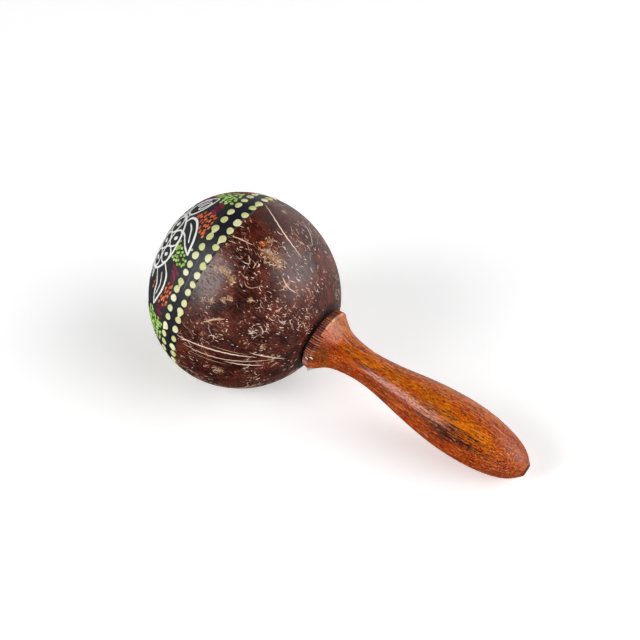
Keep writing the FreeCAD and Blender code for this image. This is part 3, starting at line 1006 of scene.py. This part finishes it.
def make_handle(material):
    seat = np.linspace((SEAT_START, TENON_RADIUS), (RIM_START, RIM_START_RADIUS), 6)
    band = np.linspace((RIM_START, RIM_START_RADIUS), (LIP_X - 0.7, LIP_RADIUS), 9)[1:]
    lip = [(LIP_X - 0.25, LIP_RADIUS - 0.05), (LIP_X + 0.08, LIP_RADIUS - 0.3)]
    tenon = [(TENON_START, TENON_RADIUS - 0.8), (TENON_START + 0.8, TENON_RADIUS)]
    face = [(HANDLE_END, END_FLAT_RADIUS * 0.55)]
    x, radius = np.hsplit(np.concatenate([tenon, seat, band, lip, SIDE, face]), 2)
    step = np.arange(TEETH * len(TOOTH_PROFILE))
    angle = math.tau * step / len(step)
    turn = (np.degrees(angle) + VIEW_TURN + 180) % 360 - 180
    tooth = step // len(TOOTH_PROFILE)
    # flutes, cut further past the lip on the low side
    depth = FLUTE_DEPTH * uniform(0.65, 1.0, TEETH)[tooth]
    uneven_cut = np.clip(random.normal(0, 0.5, TEETH), -0.7, 1.2)[tooth]
    reach = LIP_X + 0.1 + 1.3 * smooth_step(-turn, -15, 25) + uneven_cut
    on_rim = smooth_step(radius, 13.0, 15.0) * (x < 58)
    fluted = on_rim * (1 - smooth_step(x, reach - 0.6, reach + 0.6))
    groove = fluted * TOOTH_PROFILE[step % len(TOOTH_PROFILE)]
    sanded = (x > LIP_X + 2) * (radius > END_FLAT_RADIUS + 0.6)
    radius = radius - groove * depth - unevenness(x, angle) * sanded
    # teeth lighter towards the low side and darker near the top: painted light and shade, with random colour
    # from tooth to tooth
    tone = 0.42 + 0.14 * np.cos(np.radians(turn + 35)) - 0.22 * np.exp(-((turn - 24) / 26) ** 2)
    tone = np.clip(tone + random.normal(0, 0.2, TEETH)[tooth], 0, 0.66)
    broken = uniform(0.35, 1.0, TEETH)[tooth]
    # painted highlight along the lip's edge, only on the upper side towards the viewer, broken from tooth to
    # tooth
    lip_highlight = np.exp(-((x - LIP_X - 0.1) / 0.26) ** 2) * broken
    whole = np.ones_like(radius)
    values = {
        "rim": np.clip(fluted + on_rim * (x < LIP_X - 0.6), 0, 1) * 0.92,
        # painted shade: the flute grooves are coloured near black
        "groove": np.clip(groove * 0.95, 0, 1),
        "tooth": whole * tone,
        "lip": lip_highlight * smooth_step(turn, 0, 14) * (1 - smooth_step(turn, 70, 95)),
        "bare": bare_flare(x, turn) * (x > 50),
        "brown": smooth_step(x, 52, 55) * (1 - smooth_step(x, 59.5, 61)) * np.exp(-((turn + 33) / 27) ** 4),
        # deeper stain, and painted shade along the low side
        "deep": near_lines(x, turn, radius, DEEP_AND_LOW_SHADE),
        "amber": near_lines(x, turn, radius, AMBER),
        "scorch": near_lines(x, turn, radius, SCORCHES),
        "end": whole * smooth_step(x, HANDLE_END - 0.3, HANDLE_END) * 0.9,
    }
    pile = Pile(ring_points(x, radius, angle))
    made = make_piece("handle_turned", pile, material, values=values, sharp=60)
    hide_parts("handle")


# ---- filler and glue

FILLER_X = 48.9
FILLER_RADIUS = 15.2
FILLER_HALF_WIDTH = 1.2
FILLER_HALF_HEIGHT = 1.45
GLUE_DROP_HALF_SIZES = (1.7, 2.2, 1.25)


def make_filler(material):
    """Dark filler pressed into the gap between the shell and the rim."""
    angle = np.linspace(0, math.tau, 220, endpoint=False)[:, None]
    section = np.linspace(0, math.tau, 16, endpoint=False)
    lumps = 1 + 0.09 * np.sin(5 * angle + 1) + 0.07 * np.sin(13 * angle)
    lumps = lumps + 0.05 * np.sin(29 * angle + 2 * section)
    x = FILLER_X + FILLER_HALF_WIDTH * np.cos(section) * lumps
    radius = FILLER_RADIUS + FILLER_HALF_HEIGHT * np.sin(section) * lumps
    pile = Pile(ring_points(x, radius, angle), joined=True)
    made = make_piece("filler_ring", pile, material)
    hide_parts("joint_filler")


def ball(half_sizes, rows, around, ripple):
    """Rings of a lumpy ball about the origin."""
    polar = np.linspace(0.06, math.pi - 0.06, rows)[:, None]
    turn = np.linspace(0, math.tau, around, endpoint=False)
    directions = ring_points(np.cos(polar) + 0 * turn, np.sin(polar), turn)
    return directions * (1 - ripple(directions))[..., None] * np.asarray(half_sizes)


def make_glue_drop(material):
    low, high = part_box("glue_squeeze_out")
    middle = np.array(LOCAL.inverted() @ ((low + high) / 2)) / MM * (1.01, 0.95, 0.95)

    def ripple(directions):
        x, y, z = np.moveaxis(directions, -1, 0)
        return 0.1 + 0.08 * np.sin(4 * x + 3 * y) + 0.05 * np.sin(7 * z)

    pile = Pile(ball(GLUE_DROP_HALF_SIZES, 24, 30, ripple) + middle)
    made = make_piece("glue_drop", pile, material)
    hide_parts("glue_squeeze_out")


# ---- seeds


def make_seed(node, material):
    """A dry round seed, finely wrinkled, with the pale scar where it hung in its pod."""
    low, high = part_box(node)
    radius = (high.x - low.x) / 2 / MM
    wrinkles = soft_waves(4, 13, 6)
    scar_side = unit(random.normal(size=3))

    def ripple(directions):
        scar = smooth_step(directions @ scar_side, 0.93, 0.985)
        return 0.035 + 0.025 * wrinkles(directions) + 0.045 * scar

    rings = ball((radius, radius, radius), 22, 28, ripple)
    values = {"scar": smooth_step(unit(rings) @ scar_side, 0.95, 0.985)}
    place = Matrix.Translation((low + high) / 2)
    made = make_piece(node + "_coat", Pile(rings), material, node, place, values)
    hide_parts(node)


# ---- stage, lights, camera

FLOOR_HALF = 6.0
# Soft lights: azimuth, elevation, distance, width, height, power in watts, spread in degrees
LIGHTS = {"front_softbox": (-27, 28, 1.6, 1.05, 0.9, 19.6, 180),
          "back_softbox": (106, 28, 1.6, 2.2, 1.4, 11.8, 100),
          "backdrop": (165, 38, 2.0, 2.4, 1.8, 3.0, 100)}
WALLS_AZIMUTH = 145          # towards the brighter walls, behind and to the right
VIEW_AZIMUTH = 33.7
VIEW_ELEVATION = 40.4
VIEW_PLACE = (39.2, -16.5, 850)      # right of the shell's centre, above it and back from it
FOCAL_LENGTH = 89.7


def direction(azimuth, elevation):
    """World direction, with azimuth 0 towards -Y and positive towards +X."""
    level = math.cos(math.radians(elevation))
    turn = math.radians(azimuth)
    return Vector((level * math.sin(turn), -level * math.cos(turn), math.sin(math.radians(elevation))))


def soft_light(name, azimuth, elevation, distance, width, height, power, spread):
    lamp = bpy.data.lights.new(name, "AREA")
    lamp.shape = "RECTANGLE"
    lamp.size = width
    lamp.size_y = height
    lamp.energy = power
    lamp.spread = math.radians(spread)
    light = new_object(name, lamp)
    towards = direction(azimuth, elevation)
    light.location = CENTRE + towards * distance
    light.rotation_euler = towards.to_track_quat("Z", "Y").to_euler()


def make_floor(material):
    mesh = bpy.data.meshes.new("floor")
    corners = [(x * FLOOR_HALF, y * FLOOR_HALF, 0) for x, y in ((-1, -1), (1, -1), (1, 1), (-1, 1))]
    mesh.from_pydata(corners, [], [(0, 1, 2, 3)])
    mesh.materials.append(material)
    floor = new_object("floor", mesh)
    floor.visible_glossy = False         # the pale floor would veil the dark lacquer


def make_world():
    """Pale studio walls behind and to the right; dark overhead, below and towards the camera."""
    world = bpy.data.worlds.new("studio")
    world.use_nodes = True
    bpy.context.scene.world = world
    w = Nodes(world.node_tree)
    sky = w.node("TexCoord", {}, "Generated")
    height = w.node("MapRange", {"Value": w.node("SeparateXYZ", {0: sky}, "Z"), "From Min": -1})
    facing = w.node("VectorMath", {0: sky, 1: direction(WALLS_AZIMUTH, 0)}, "Value", operation="DOT_PRODUCT")
    background = w.nodes["Background"]
    w.links.new(w.ramp(height, (0.2, 0.2), (0.44, 0.7), (0.56, 0.8), (0.8, 0.06)), background.inputs["Color"])
    w.links.new(w.fade(facing, 0, 0.7, 0.22, 1.05), background.inputs["Strength"])


def make_camera():
    back = direction(VIEW_AZIMUTH, VIEW_ELEVATION)
    right = direction(VIEW_AZIMUTH + 90, 0)
    frame_axes = Matrix((right, back.cross(right), back)).transposed()
    lens = bpy.data.cameras.new("camera")
    lens.lens = FOCAL_LENGTH
    lens.sensor_width = 36.0
    lens.clip_start = 0.01
    camera = new_object("camera", lens)
    place = CENTRE + frame_axes @ Vector(VIEW_PLACE) * MM
    camera.matrix_world = Matrix.Translation(place) @ frame_axes.to_4x4()
    bpy.context.scene.camera = camera


# ---- everything

make_shell()
paints = {
    "green_paint": paint_finish("green_dab_paint", "#82b040", "#a2cc5a", "#c0e28c"),
    "orange_paint": paint_finish("orange_dab_paint", "#cc4a1a", "#e4602c", "#f08450"),
    "maroon_paint": paint_finish("maroon_dab_paint", "#561428", "#6e1f35", "#8a3048"),
    "pink_paint": paint_finish("pink_dab_paint", "#a02a6e", "#c84a8c", "#e07ab0"),
}
white = paint_finish("white_line_paint", "#dcdad6", "#f2f0ec", "#fbfaf8")
make_ground(ground_finish())
make_cream_rows(paint_finish("cream_dot_paint", "#c4c67c", "#d8d8a0", "#ecebc8"))
line_points = make_turtles(white)
make_dot_patches(paints, line_points)
# brush ridges in the black paint, coloured as a painted highlight
make_brush_ridges(paint_finish("brush_ridge_highlight_paint", "#45434f", "#5e5c6a", "#807e8c"))
make_fibres(fibre_finish())
make_handle(wood_finish())
make_grain(grain_finish())
make_filler(filler_finish())
make_glue_drop(glue_finish("squeezed_out_glue", "#f0ece2"))
tenon_glue = frame["nodes"]["tenon_glue"]
tenon_glue.data.materials.clear()
tenon_glue.data.materials.append(glue_finish("tenon_glue", "#d9c9a0", made_here=False))
seed_coat = seed_finish()
for name in sorted(frame["nodes"]):
    if name.startswith("seed_"):
        make_seed(name, seed_coat)

make_floor(floor_finish())
make_world()
for light_name, settings in LIGHTS.items():
    soft_light(light_name, *settings)
make_camera()
bpy.context.scene.view_settings.view_transform = "Standard"
